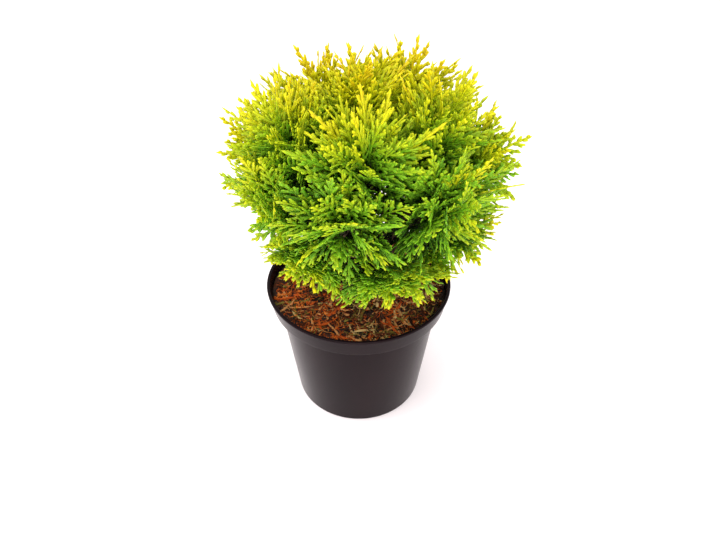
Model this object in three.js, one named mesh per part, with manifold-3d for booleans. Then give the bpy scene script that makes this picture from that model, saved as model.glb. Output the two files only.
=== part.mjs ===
// A dwarf globe arborvitae in a round black nursery pot.
// Millimetres, +Z up. The origin is the middle of the pot's flat underside, and the side
// that faces -Y is the front. Azimuths turn from the front towards +X.
import * as THREE from "three";
import { mergeVertices } from "three/addons/utils/BufferGeometryUtils.js";
import Module from "manifold-3d";

const wasm = await Module();
wasm.setup();

// Driving dimensions.
const GAP = 0.3; // between pieces that touch
const ROUND_STEPS = 32; // facets round the pot and the soil
const POT = {
  height: 130,
  rimRadius: 85,
  lipWidth: 2.6,
  lipHeight: 2.2,
  collarHeight: 19,
  collarFootRadius: 81.4,
  bodyTopRadius: 75,
  footRadius: 63,
  footChamfer: 1.5,
  wall: 1.4,
  floor: 2.2,
  drainHoles: 6,
  drainRadius: 4,
  drainCircle: 40,
};
const SOIL = { level: 119, dome: 1.6, bump: 1.3, trunkPatch: 12 };
const TRUNK = {
  height: 66,
  lean: 4,
  flareRadius: 10.5,
  footRadius: 7.4,
  tipRadius: 4.9,
  flareShare: 0.16, // of the height that the flare takes up
};
const BOUGH = {
  rootRadius: 2.3,
  tipRadius: 1.7,
  sides: 5,
  steps: 3,
  outward: 0.75, // how far out a bough has spread when it bends
  rise: 0.35, // and how far up it has come by then
  stagger: 2.5, // up or down, from one bough of a ring to the next
};
const FORK_HEIGHT = 165; // every mass fans out from this height on the trunk
const BOUGH_SHARE = 0.3; // of the way from the fork to the outline, where a bough ends
const CROWN = {
  centre: new THREE.Vector3(7, 0, 257),
  halfWidth: 131,
  halfDepth: 124,
  rise: 86,
  drop: 135,
};
const MASS = {
  stemShare: 0.64, // how far the stem runs from the fork to the crown's outline
  twigRange: 0.6, // the share of the stem that bears twigs
  stemRootRadius: 2.1,
  stemTipRadius: 1.4,
  roll: 30, // degrees that a spray may turn either way
  lobe: 0.08, // how much shorter the outermost twigs are than the middle one
  cellGap: 0.25, // from each mass to the plane it shares with its neighbour
  touch: 0.3, // mm3 by which two sprays may run into each other
  joint: 24, // and a side spray into its own twig
  tries: 14, // for one twig, each pulled in by a share and turned by radians
  pull: 0.04,
  dodge: 0.16,
};
const SPRAY = {
  length: 66,
  sideLength: 46,
  sideSpread: 0.9, // how far a side twig goes sideways for each step along its twig
  sideLean: 0.25, // and outwards
  width: 0.68, // as a share of the length, as the next two
  thickness: 0.024,
  ribWidth: 0.034,
  footRadius: 0.6,
  sideShare: 0.4, // of the way up the bare twig
};
// The rings of foliage masses, from the top down. Angles are in degrees, elevation is seen from
// the crown's centre, and each reach is one mass's share of the crown's outline. Twigs spread by
// rise up and down and by sweep to the sides, seen from the fork. A spray faces away from its
// mass's middle where flatness is 0, and upwards along the crown where it is 1.
const RINGS = [
  {
    name: "leader",
    elevation: 84,
    azimuth: 200,
    boughHeight: 182,
    reaches: [1.0],
    rise: 18,
    sweep: 20,
    twigs: 16,
    flatness: 0,
    hue: 0xa3a812,
  },
  {
    name: "upper",
    elevation: 40,
    azimuth: 0,
    boughHeight: 172,
    reaches: [0.97, 1.01, 1.02, 1.0, 1.0],
    rise: 17,
    sweep: 24,
    twigs: 19,
    flatness: 0.35,
    hue: 0x98a414,
  },
  {
    name: "middle",
    elevation: 3,
    azimuth: -12,
    boughHeight: 156,
    reaches: [0.94, 1.0, 0.98, 1.0, 1.0, 0.99, 0.9],
    rise: 17,
    sweep: 26,
    twigs: 18,
    flatness: 0.55,
    hue: 0x7e9a1a,
  },
  {
    name: "lower",
    elevation: -40,
    azimuth: 15,
    boughHeight: 140,
    reaches: [1.0, 0.97, 0.92, 0.96, 0.82, 0.88],
    rise: 20,
    sweep: 30,
    twigs: 15,
    flatness: 0.85,
    hue: 0x5c8a20,
  },
];
const TILT = 4; // degrees by which the rings rise towards the right
const SEED = 31;
const GOLDEN_ANGLE = Math.PI * (3 - Math.sqrt(5));

const POT_BLACK = new THREE.MeshStandardMaterial({ color: 0x141214, roughness: 0.28, metalness: 0 });
const SOIL_BROWN = new THREE.MeshStandardMaterial({ color: 0x5a2f16, roughness: 0.95, metalness: 0 });
const BARK_BROWN = new THREE.MeshStandardMaterial({ color: 0x6b4329, roughness: 0.9, metalness: 0 });

const UP = new THREE.Vector3(0, 0, 1);
const radians = THREE.MathUtils.degToRad;
const lerp = THREE.MathUtils.lerp;

// The same run of random numbers from 0 to 1 for the same seed.
function seeded(seed) {
  let state = seed >>> 0;
  return () => {
    state = (state + 0x6d2b79f5) >>> 0;
    let t = Math.imul(state ^ (state >>> 15), 1 | state);
    t = (t + Math.imul(t ^ (t >>> 7), 61 | t)) ^ t;
    return ((t ^ (t >>> 14)) >>> 0) / 4294967296;
  };
}

// A closed geometry as a solid that can be cut and joined, and back.
function solidOf(geometry) {
  const bare = geometry.clone();
  for (const name of Object.keys(bare.attributes)) if (name !== "position") bare.deleteAttribute(name);
  const merged = mergeVertices(bare.index ? bare.toNonIndexed() : bare, 1e-4);
  return new wasm.Manifold(
    new wasm.Mesh({
      numProp: 3,
      vertProperties: merged.attributes.position.array,
      triVerts: new Uint32Array(merged.index.array),
    }),
  );
}

function geometryOf(solid) {
  const mesh = solid.getMesh();
  const geometry = new THREE.BufferGeometry();
  geometry.setAttribute("position", new THREE.BufferAttribute(mesh.vertProperties, 3));
  geometry.setIndex(new THREE.BufferAttribute(mesh.triVerts, 1));
  geometry.computeVertexNormals();
  return geometry;
}

// A closed geometry from its points and faces, each face listing point numbers the way they
// turn when seen from outside.
function faceted(points, faces) {
  const geometry = new THREE.BufferGeometry().setFromPoints(points);
  geometry.setIndex(faces.flat());
  return geometry;
}

// A turned solid from a profile of [radius, height] pairs, turned about Z.
function turned(profile) {
  const points = profile.map(([radius, height]) => new THREE.Vector2(radius, height));
  return new THREE.LatheGeometry(points, ROUND_STEPS).rotateX(Math.PI / 2);
}

// A round limb with flat ends along a curve, radiusAt giving its radius from 0 to 1 along it.
function limb(curve, sides, steps, radiusAt) {
  const frames = curve.computeFrenetFrames(steps, false);
  const points = [];
  for (let i = 0; i <= steps; i++) {
    const middle = curve.getPointAt(i / steps);
    for (let j = 0; j < sides; j++) {
      const turn = (2 * Math.PI * j) / sides;
      const out = frames.normals[i].clone().multiplyScalar(Math.cos(turn));
      out.addScaledVector(frames.binormals[i], Math.sin(turn));
      points.push(middle.clone().addScaledVector(out, radiusAt(i / steps)));
    }
  }
  const faces = [];
  for (let i = 0; i < steps; i++)
    for (let j = 0; j < sides; j++) {
      const a = i * sides + j;
      const b = i * sides + ((j + 1) % sides);
      faces.push([a, b, b + sides], [a, b + sides, a + sides]);
    }
  const last = steps * sides;
  for (let j = 1; j < sides - 1; j++) faces.push([0, j + 1, j], [last, last + j, last + j + 1]);
  return faceted(points, faces);
}

// The pot's wall as [radius, height] pairs: up the outside from the foot, over the lip, and
// down the inside to the floor.
function potProfile() {
  const shoulder = POT.height - POT.collarHeight;
  const lip = POT.height - POT.lipHeight;
  return [
    [0, 0],
    [POT.footRadius - POT.footChamfer, 0],
    [POT.footRadius, POT.footChamfer],
    [POT.bodyTopRadius, shoulder],
    [POT.collarFootRadius, shoulder + POT.wall / 2],
    [POT.rimRadius - POT.wall / 2, lip],
    [POT.rimRadius, lip + POT.wall / 2],
    [POT.rimRadius - POT.wall / 2, POT.height],
    [POT.rimRadius - POT.lipWidth, POT.height],
    [POT.rimRadius - POT.lipWidth - POT.wall / 2, lip],
    [POT.collarFootRadius - POT.wall, shoulder + 2 * POT.wall],
    [POT.bodyTopRadius - POT.wall, shoulder],
    [POT.footRadius - POT.wall, POT.floor],
    [0, POT.floor],
  ];
}

// How far the pot's inside reaches from its axis at a height above its shoulder.
function collarInside(height) {
  const low = POT.height - POT.collarHeight + 2 * POT.wall;
  const high = POT.height - POT.lipHeight;
  const share = (height - low) / (high - low);
  return lerp(POT.collarFootRadius - POT.wall, POT.rimRadius - POT.lipWidth - POT.wall / 2, share);
}

function makePot() {
  let pot = solidOf(turned(potProfile()));
  for (let k = 0; k < POT.drainHoles; k++) {
    const drill = new THREE.CylinderGeometry(POT.drainRadius, POT.drainRadius, 3 * POT.floor, 8);
    const turn = (2 * Math.PI * (k + 0.5)) / POT.drainHoles;
    drill.rotateX(Math.PI / 2);
    drill.translate(POT.drainCircle * Math.cos(turn), POT.drainCircle * Math.sin(turn), POT.floor / 2);
    pot = pot.subtract(solidOf(drill));
  }
  return geometryOf(pot);
}

// The soil's unevenness, flat where the trunk stands and along the pot's wall.
function soilBump(x, y) {
  const radius = Math.hypot(x, y);
  const fade = THREE.MathUtils.smoothstep(radius, SOIL.trunkPatch, 3 * SOIL.trunkPatch);
  const rim = 1 - THREE.MathUtils.smoothstep(radius, 0.85 * POT.bodyTopRadius, POT.bodyTopRadius);
  return SOIL.bump * fade * rim * (Math.sin(x / 8 + 1) * Math.cos(y / 10) + 0.6 * Math.sin((x + y) / 6));
}

function makeSoil() {
  const shoulder = POT.height - POT.collarHeight;
  const edge = collarInside(SOIL.level) - GAP;
  const top = SOIL.level + SOIL.dome;
  const geometry = turned([
    [0, POT.floor + GAP],
    [POT.footRadius - POT.wall - GAP, POT.floor + GAP],
    [POT.bodyTopRadius - POT.wall - GAP, shoulder],
    [collarInside(shoulder + 3 * POT.wall) - GAP, shoulder + 3 * POT.wall],
    [edge, SOIL.level],
    [0.74 * edge, SOIL.level + 0.5 * SOIL.dome],
    [0.45 * edge, top],
    [SOIL.trunkPatch, top],
    [0, top],
  ]);
  const place = geometry.attributes.position;
  for (let i = 0; i < place.count; i++)
    if (place.getZ(i) > SOIL.level) place.setZ(i, place.getZ(i) + soilBump(place.getX(i), place.getY(i)));
  return geometry;
}

// The trunk leaves the soil upright and leans a little at its fork.
const soilTop = SOIL.level + SOIL.dome;
const trunkFoot = new THREE.Vector3(0, 0, soilTop + GAP);
const trunkTip = new THREE.Vector3(TRUNK.lean, 0, soilTop + TRUNK.height);
const trunkBend = new THREE.Vector3(0, 0, soilTop + TRUNK.height / 2);
const trunkLine = new THREE.QuadraticBezierCurve3(trunkFoot, trunkBend, trunkTip);

function trunkRadius(share) {
  const flare = Math.max(0, 1 - share / TRUNK.flareShare) ** 2;
  return lerp(TRUNK.footRadius, TRUNK.tipRadius, share) + flare * (TRUNK.flareRadius - TRUNK.footRadius);
}

function makeTrunk(extra = 0) {
  return limb(trunkLine, 10, 8, (share) => trunkRadius(share) + extra);
}

// A point of the trunk's middle line at a height.
function trunkAt(height) {
  return trunkLine.getPoint((height - trunkFoot.z) / (trunkTip.z - trunkFoot.z));
}

const fork = trunkAt(FORK_HEIGHT);

// A unit direction from its azimuth and elevation in degrees.
function towards(azimuth, elevation) {
  const flat = Math.cos(radians(elevation));
  return new THREE.Vector3(
    Math.sin(radians(azimuth)) * flat,
    -Math.cos(radians(azimuth)) * flat,
    Math.sin(radians(elevation)),
  );
}

// Where a ray from a point inside the crown meets the crown's outline, as a distance. The outline
// is half an ellipsoid above its widest level and a deeper half below it.
function crownDistance(from, direction) {
  const exit = (halfHeight) => {
    const size = new THREE.Vector3(CROWN.halfWidth, CROWN.halfDepth, halfHeight);
    const start = from.clone().sub(CROWN.centre).divide(size);
    const way = direction.clone().divide(size);
    const a = way.dot(way);
    const b = start.dot(way);
    return (-b + Math.sqrt(b * b - a * (start.dot(start) - 1))) / a;
  };
  const low = exit(CROWN.drop);
  return from.z + direction.z * low > CROWN.centre.z ? exit(CROWN.rise) : low;
}

// One plan for each mass: where its bough leaves the trunk, where its stem starts and ends, and
// its main direction from the fork.
function planMasses() {
  const plans = [];
  for (const ring of RINGS)
    ring.reaches.forEach((reach, k) => {
      const azimuth = ring.azimuth + (360 * k) / ring.reaches.length;
      const outward = towards(azimuth, ring.elevation + TILT * Math.sin(radians(azimuth)));
      const tip = CROWN.centre.clone().addScaledVector(outward, crownDistance(CROWN.centre, outward) * reach);
      const boughRoot = trunkAt(ring.boughHeight + BOUGH.stagger * (k % 2 ? 1 : -1));
      plans.push({
        name: ring.name + "_" + (k + 1),
        ring,
        reach,
        boughRoot,
        stemRoot: fork.clone().lerp(tip, BOUGH_SHARE),
        stemTip: fork.clone().lerp(tip, MASS.stemShare),
        direction: tip.clone().sub(fork).normalize(),
      });
    });
  for (const plan of plans)
    plan.walls = plans
      .filter((other) => other !== plan)
      .map((other) => other.direction.clone().sub(plan.direction).normalize());
  return plans;
}

// Whether a point lies in a mass's own space: nearer to its direction from the fork than to any
// other mass's, inside the crown's outline, and above the soil and the pot's rim.
function inSpace(plan, point) {
  const from = point.clone().sub(fork);
  const overPot = Math.hypot(point.x, point.y) > collarInside(POT.height) - 5;
  const lowest = overPot ? POT.height + 1.5 : soilTop + 2.5;
  if (point.z < lowest || plan.walls.some((wall) => from.dot(wall) > -MASS.cellGap)) return false;
  return from.length() < 1 || from.length() < crownDistance(fork, from.clone().normalize()) * plan.reach;
}

// A bough spreads outwards first and rises later.
function boughLine(plan) {
  const middle = plan.boughRoot.clone().lerp(plan.stemRoot, BOUGH.outward);
  middle.z = lerp(plan.boughRoot.z, plan.stemRoot.z, BOUGH.rise);
  return new THREE.QuadraticBezierCurve3(plan.boughRoot, middle, plan.stemRoot);
}

function makeBough(plan, trunkClearance) {
  const radiusAt = (share) => lerp(BOUGH.rootRadius, BOUGH.tipRadius, share);
  const whole = solidOf(limb(boughLine(plan), BOUGH.sides, BOUGH.steps, radiusAt));
  return geometryOf(whole.subtract(trunkClearance));
}

// A stem starts 0.3 mm clear of its bough's tip and keeps that tip's direction.
function stemLine(plan) {
  const along = boughLine(plan).getTangent(1);
  const start = plan.stemRoot.clone().addScaledVector(along, GAP);
  const middle = start.clone().addScaledVector(along, plan.stemRoot.distanceTo(plan.stemTip) / 2);
  return new THREE.QuadraticBezierCurve3(start, middle, plan.stemTip);
}

// A twig along X that ends in a flat spray of scale leaves: its rib carries pairs of side shoots
// as pyramids that point forward, and one more at its end. The spray takes up the last length of
// the whole.
function sprayedTwig(whole, length, pairs) {
  const points = [];
  const faces = [];
  const rings = [];
  const bare = whole - length;
  const ring = (x, y, z) => {
    rings.push([0, 1, 2, 3].map((n) => points.length + n));
    points.push(new THREE.Vector3(x, y, z), new THREE.Vector3(x, y, -z));
    points.push(new THREE.Vector3(x, -y, -z), new THREE.Vector3(x, -y, z));
  };
  ring(0, SPRAY.footRadius, SPRAY.footRadius);
  for (let j = 0; j < pairs; j++) {
    const half = 0.5 * length * (1 - (0.5 * j) / pairs);
    ring(bare + (length * 0.86 * j) / pairs, SPRAY.ribWidth * half, SPRAY.thickness * half);
  }
  const apex = points.length;
  points.push(new THREE.Vector3(whole, 0, 0));
  const [foot, ...rib] = rings;
  faces.push([foot[0], foot[1], foot[2]], [foot[0], foot[2], foot[3]]);
  for (let n = 0; n < 4; n++) {
    const m = (n + 1) % 4;
    faces.push([foot[n], rib[0][n], rib[0][m]], [foot[n], rib[0][m], foot[m]]);
  }
  for (let j = 0; j < pairs; j++) {
    const share = (j + 1) / pairs;
    const x = bare + length * (0.14 + 0.74 * share);
    const y = 0.5 * SPRAY.width * length * Math.sin(Math.PI * (0.3 + 0.6 * share)) ** 0.7;
    const left = points.length;
    const right = left + 1;
    points.push(new THREE.Vector3(x, y, 0), new THREE.Vector3(x - 0.04 * length, -y, 0));
    const [a, b, c, d] = rib[j];
    if (j < pairs - 1) {
      const [e, f, g, h] = rib[j + 1];
      faces.push([d, h, e], [d, e, a], [b, f, g], [b, g, c]);
      faces.push([a, e, left], [e, f, left], [f, b, left], [b, a, left]);
      faces.push([h, d, right], [g, h, right], [c, g, right], [d, c, right]);
    } else {
      faces.push([d, apex, a], [b, apex, c]);
      faces.push([a, apex, left], [apex, b, left], [b, a, left]);
      faces.push([apex, d, right], [c, apex, right], [d, c, right]);
    }
  }
  return faceted(points, faces);
}

// The matrix that stands a spray on its root, along its axis, its flat side turned by roll from
// the way it faces.
function sprayPlace(root, axis, facing, roll) {
  const side = new THREE.Vector3().crossVectors(facing, axis);
  if (side.length() < 0.05) side.crossVectors(UP, axis);
  side.normalize().applyAxisAngle(axis, roll);
  const normal = new THREE.Vector3().crossVectors(axis, side);
  return new THREE.Matrix4().makeBasis(axis, side, normal).setPosition(root);
}

function placed(geometry, matrix) {
  return geometry.clone().applyMatrix4(matrix);
}

function pointsOf(geometry) {
  const place = geometry.attributes.position;
  return Array.from({ length: place.count }, (_, i) => new THREE.Vector3().fromBufferAttribute(place, i));
}

// Whether a solid stays in a mass's space, off the limbs and out of that mass's other sprays.
function fits(plan, geometry, solid, limbs, others) {
  if (!pointsOf(geometry).every((p) => inSpace(plan, p))) return false;
  if (!solid.intersect(limbs).isEmpty()) return false;
  return others.every((other) => solid.intersect(other).volume() < MASS.touch);
}

// The twigs and sprays of one mass by the sunflower rule: each twig's tip turns by the golden
// angle from the last, further out each time, its spray turned by the ring's flatness. A
// twig that would leave the mass's space or cross another is pulled in and turned a few times,
// and skipped if it never fits.
function growMass(plan, number, limbs) {
  const random = seeded(SEED + 97 * number);
  const line = stemLine(plan);
  const stemRadius = (share) => lerp(MASS.stemRootRadius, MASS.stemTipRadius, share);
  const grown = [];
  const grow = (base, axis, facing, roll, whole, length, pairs, parent) => {
    const geometry = placed(sprayedTwig(whole, length, pairs), sprayPlace(base, axis, facing, roll));
    const solid = solidOf(geometry);
    const free = fits(plan, geometry, solid, limbs, grown.filter((other) => other !== parent));
    const fit = free && !(parent && solid.intersect(parent).volume() > MASS.joint);
    if (fit) grown.push(solid);
    return fit;
  };
  const across = new THREE.Vector3().crossVectors(plan.direction, UP).normalize();
  const over = new THREE.Vector3().crossVectors(across, plan.direction);
  for (let k = 0; k < plan.ring.twigs; k++) {
    const turn = k * GOLDEN_ANGLE + random() * 0.5;
    const reach = 1 - 0.07 * random();
    const size = 0.88 + 0.24 * random();
    const roll = radians(MASS.roll * (random() - 0.5) * 2);
    const share = Math.sqrt((k + 0.3) / plan.ring.twigs);
    for (let attempt = 0; attempt < MASS.tries; attempt++) {
      const spread = share * (1 - MASS.pull * attempt);
      const side = turn + MASS.dodge * attempt * (attempt % 2 ? 1 : -1);
      const sweep = Math.tan(radians(plan.ring.sweep)) * spread * Math.cos(side);
      const rise = Math.tan(radians(plan.ring.rise)) * spread * Math.sin(side);
      const way = plan.direction.clone().addScaledVector(across, sweep).addScaledVector(over, rise);
      way.normalize();
      const outline = crownDistance(fork, way) * plan.reach * reach * (1 - MASS.lobe * spread * spread);
      const tip = fork.clone().addScaledVector(way, outline);
      const base = line.getPoint(0.97 - MASS.twigRange * share);
      const axis = tip.clone().sub(base).normalize();
      const whole = tip.distanceTo(base);
      const length = Math.min(SPRAY.length * size, whole * 0.8);
      const facing = way.clone().sub(plan.direction).normalize().lerp(over, plan.ring.flatness);
      if (!grow(base, axis, facing, roll * (1 + 0.25 * attempt), whole, length, 3)) continue;
      const parent = grown.at(-1);
      const sideBase = base.clone().addScaledVector(axis, SPRAY.sideShare * (whole - length));
      for (const hand of k % 2 ? [1, -1] : [-1, 1]) {
        const lean = facing.clone().normalize().multiplyScalar(SPRAY.sideLean);
        const sideways = new THREE.Vector3().crossVectors(axis, facing).normalize().multiplyScalar(hand);
        const sideAxis = axis.clone().addScaledVector(sideways, SPRAY.sideSpread).add(lean).normalize();
        const sideLength = SPRAY.sideLength * size;
        grow(sideBase, sideAxis, facing, roll, sideLength * 1.25, sideLength, 2, parent);
      }
      break;
    }
  }
  const stem = solidOf(limb(line, 4, 3, stemRadius));
  const joined = wasm.Manifold.union([stem, ...grown]).simplify(0.02);
  const parts = joined.decompose().sort((a, b) => b.volume() - a.volume());
  return geometryOf(parts[0]);
}

function named(name, geometry, material) {
  const mesh = new THREE.Mesh(geometry, material);
  mesh.name = name;
  return mesh;
}

const plant = new THREE.Group();
plant.add(named("pot", makePot(), POT_BLACK));
plant.add(named("potting_soil", makeSoil(), SOIL_BROWN));
plant.add(named("trunk", makeTrunk(), BARK_BROWN));

const plans = planMasses();
const trunkClearance = solidOf(makeTrunk(GAP));
const boughs = plans.map((plan) => makeBough(plan, trunkClearance));
const limbs = wasm.Manifold.union([...boughs.map(solidOf), trunkClearance]);
plans.forEach((plan, number) => {
  plant.add(named("bough_" + plan.name, boughs[number], BARK_BROWN));
  const green = new THREE.MeshStandardMaterial({ color: plan.ring.hue, roughness: 0.6, metalness: 0 });
  plant.add(named("foliage_" + plan.name, growMass(plan, number, limbs), green));
});

export default plant;
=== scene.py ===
"""The looks of a golden globe arborvitae in its round black nursery pot.

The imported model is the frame. Every size below is in millimetres and in the frame's own axes:
+Z is up, the origin is the middle of the pot's flat underside, and the front faces -Y.
"""

import logging
import math
import random
from abc import ABC, abstractmethod
from dataclasses import dataclass, field
from enum import Enum
from itertools import product

import bpy
import numpy as np
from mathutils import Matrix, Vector, noise


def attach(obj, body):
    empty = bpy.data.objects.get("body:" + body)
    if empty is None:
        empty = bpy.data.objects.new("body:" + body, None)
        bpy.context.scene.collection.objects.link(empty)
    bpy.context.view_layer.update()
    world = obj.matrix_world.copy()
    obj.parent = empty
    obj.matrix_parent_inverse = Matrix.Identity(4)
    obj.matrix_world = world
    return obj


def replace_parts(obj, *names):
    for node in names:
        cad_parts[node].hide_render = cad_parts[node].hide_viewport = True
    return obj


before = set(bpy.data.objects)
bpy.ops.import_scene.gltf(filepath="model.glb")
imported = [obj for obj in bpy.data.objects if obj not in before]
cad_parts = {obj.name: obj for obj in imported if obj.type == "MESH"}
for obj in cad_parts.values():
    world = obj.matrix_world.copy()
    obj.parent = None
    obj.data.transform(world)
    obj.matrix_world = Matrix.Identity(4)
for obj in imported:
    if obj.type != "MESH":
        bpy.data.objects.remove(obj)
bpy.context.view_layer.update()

LOG = logging.getLogger("arborvitae")
MM = 0.001
BODY = "root"
UP = np.array([0.0, 0.0, 1.0])
GOLDEN_ANGLE = math.pi * (3 - math.sqrt(5))

Stops = tuple[tuple[float, tuple[int, int, int]], ...]


def linear(red: int, green: int, blue: int) -> tuple[float, float, float, float]:
    """Turns a screen colour into the shader's own scale.

    Args:
        red: from 0 to 255, as are the other two.
        green: see red.
        blue: see red.

    Returns:
        The colour in linear light, with full alpha.
    """
    shares = [channel / 255 for channel in (red, green, blue)]
    light = [s / 12.92 if s <= 0.04045 else ((s + 0.055) / 1.055) ** 2.4 for s in shares]
    return (*light, 1.0)


def unit(vector: np.ndarray) -> np.ndarray:
    """Returns the vector, or each vector of an array, at length 1."""
    return vector / np.maximum(np.linalg.norm(vector, axis=-1, keepdims=True), 1e-9)


def mix(start: float, end: float, share: float) -> float:
    """Returns the value that lies a share of the way from start to end."""
    return start + (end - start) * share


def smooth_step(value: float, low: float, high: float) -> float:
    """Returns 0 below low and 1 above high, with a soft slope between."""
    share = min(max((value - low) / (high - low), 0.0), 1.0)
    return share * share * (3 - 2 * share)


def turned_about(vector: np.ndarray, axis: np.ndarray, angle: float) -> np.ndarray:
    """Turns a vector about a unit axis.

    Args:
        vector: what is turned.
        axis: the unit axis.
        angle: in radians.

    Returns:
        The turned vector.
    """
    along = axis * np.dot(axis, vector)
    aside = np.cross(axis, vector)
    return along + (vector - along) * math.cos(angle) + aside * math.sin(angle)


class Tint(Enum):
    """The plain colours of the scale leaves, from the shaded inside to the sunlit tips; the darkest are
    partly painted shade.
    """

    # painted shade: this darkest tint and the next are partly the inner leaves' own dark green, darkened to
    # stand for the shade deep in the crown
    DEEP_SHADE = (20, 38, 7)
    SHADE = (52, 90, 13)
    GREEN = (86, 134, 22)
    FRESH = (110, 158, 25)
    LIME = (134, 164, 22)
    YELLOW_LIME = (154, 172, 18)
    YELLOW = (174, 180, 14)
    GOLD = (190, 186, 14)
    AMBER = (202, 190, 14)
    ORANGE = (208, 182, 16)


class Litter(Enum):
    """The plain colours of the loose bits on the substrate."""

    PEAT = (32, 16, 8)
    UMBER = (92, 42, 14)
    RUST = (186, 80, 22)
    ORANGE = (222, 122, 44)
    TAN = (204, 140, 84)
    STRAW = (204, 168, 108)
    OLIVE = (124, 108, 44)


class Finish(ABC):
    """One finish, made as a material with nodes."""

    @abstractmethod
    def make(self) -> bpy.types.Material:
        """Returns the finish as a new material."""

    def start(
        self, name: str, roughness: float, shine: float = 0.5
    ) -> tuple[bpy.types.Material, bpy.types.Node]:
        """Begins a material with its shader.

        Args:
            name: the material's name.
            roughness: how matt the surface is, from 0 to 1.
            shine: how strongly it reflects, 0.5 being usual.

        Returns:
            The material and its main shader.
        """
        material = bpy.data.materials.new(name)
        material.use_nodes = True
        shader = material.node_tree.nodes["Principled BSDF"]
        shader.inputs["Roughness"].default_value = roughness
        shader.inputs["Specular IOR Level"].default_value = shine
        return material, shader

    def add(self, material: bpy.types.Material, kind: str, **values: float) -> bpy.types.Node:
        """Adds a node.

        Args:
            material: where the node goes.
            kind: Blender's name for the kind of node.
            values: numbers for its sockets, an underscore standing for a space.

        Returns:
            The node.
        """
        node = material.node_tree.nodes.new(kind)
        for name, value in values.items():
            node.inputs[name.replace("_", " ")].default_value = value
        return node

    def link(self, source: bpy.types.NodeSocket, target: bpy.types.NodeSocket) -> None:
        """Joins two sockets of one material."""
        source.id_data.links.new(source, target)

    def colour(self, material: bpy.types.Material, value: bpy.types.NodeSocket, stops: Stops) -> None:
        """Colours the main shader by a pattern.

        Args:
            material: the material.
            value: the pattern, from 0 to 1.
            stops: each a place from 0 to 1 and a screen colour.
        """
        ramp = self.add(material, "ShaderNodeValToRGB")
        elements = ramp.color_ramp.elements
        while len(elements) < len(stops):
            elements.new(0.5)
        for element, (place, shade) in zip(elements, stops):
            element.position = place
            element.color = linear(*shade)
        self.link(value, ramp.inputs["Fac"])
        shader = material.node_tree.nodes["Principled BSDF"]
        self.link(ramp.outputs["Color"], shader.inputs["Base Color"])

    def relief(
        self, material: bpy.types.Material, height: bpy.types.NodeSocket, depth: float, strength: float
    ) -> None:
        """Adds fine relief to the main shader.

        Args:
            material: the material.
            height: the pattern of the relief.
            depth: of the relief in millimetres.
            strength: from 0 to 1.
        """
        bump = self.add(material, "ShaderNodeBump", Strength=strength, Distance=depth * MM)
        self.link(height, bump.inputs["Height"])
        shader = material.node_tree.nodes["Principled BSDF"]
        self.link(bump.outputs["Normal"], shader.inputs["Normal"])

    def pattern(
        self, material: bpy.types.Material, scale: float, stretch: tuple[float, ...] = (1.0, 1.0, 1.0)
    ) -> bpy.types.NodeSocket:
        """Makes a cloudy pattern that stays with the object.

        Args:
            material: where the pattern goes.
            scale: patches for each metre.
            stretch: how many times finer it is along X, Y and Z.

        Returns:
            The pattern's strength.
        """
        place = self.add(material, "ShaderNodeTexCoord")
        mapping = self.add(material, "ShaderNodeMapping", Scale=stretch)
        cloud = self.add(material, "ShaderNodeTexNoise", Scale=scale, Detail=6.0, Roughness=0.6)
        self.link(place.outputs["Object"], mapping.inputs["Vector"])
        self.link(mapping.outputs["Vector"], cloud.inputs["Vector"])
        return cloud.outputs["Fac"]


@dataclass(frozen=True)
class LeafFinish(Finish):
    """Waxy scale leaves in one plain tint, with a little light passing through."""

    tint: Tint
    roughness: float = 0.5
    shine: float = 0.15
    glow: float = 0.35
    glow_depth: float = 4.0
    glow_colour: tuple[float, float, float] = (0.8, 1.0, 0.2)

    def make(self) -> bpy.types.Material:
        """Returns the finish as a new material."""
        material, shader = self.start("leaf_" + self.tint.name.lower(), self.roughness, self.shine)
        shader.inputs["Base Color"].default_value = linear(*self.tint.value)
        shader.inputs["Subsurface Weight"].default_value = self.glow
        shader.inputs["Subsurface Radius"].default_value = self.glow_colour
        shader.inputs["Subsurface Scale"].default_value = self.glow_depth * MM
        return material


@dataclass(frozen=True)
class LitterFinish(Finish):
    """Dry bark, fibre or peat in one plain tint."""

    tint: Litter
    roughness: float = 0.85
    shine: float = 0.2

    def make(self) -> bpy.types.Material:
        """Returns the finish as a new material."""
        material, shader = self.start("litter_" + self.tint.name.lower(), self.roughness, self.shine)
        shader.inputs["Base Color"].default_value = linear(*self.tint.value)
        return material


@dataclass(frozen=True)
class MouldedPlastic(Finish):
    """Glossy black moulded plastic with faint upright flow marks and a fine grain."""

    gloss: tuple[float, float] = (0.16, 0.3)
    shine: float = 0.05
    flow_scale: float = 26.0
    flow_stretch: tuple[float, float, float] = (1.0, 1.0, 0.35)
    stops: Stops = ((0.35, (16, 7, 10)), (0.75, (24, 12, 15)))
    grain_scale: float = 420.0
    grain_depth: float = 0.15
    grain_strength: float = 0.25

    def make(self) -> bpy.types.Material:
        """Returns the finish as a new material."""
        low, high = self.gloss
        material, shader = self.start("moulded_plastic", low, self.shine)
        flow = self.pattern(material, self.flow_scale, self.flow_stretch)
        self.colour(material, flow, self.stops)
        spread = self.add(material, "ShaderNodeMapRange", To_Min=low, To_Max=high)
        self.link(flow, spread.inputs["Value"])
        self.link(spread.outputs["Result"], shader.inputs["Roughness"])
        grain = self.pattern(material, self.grain_scale)
        self.relief(material, grain, self.grain_depth, self.grain_strength)
        return material


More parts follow.
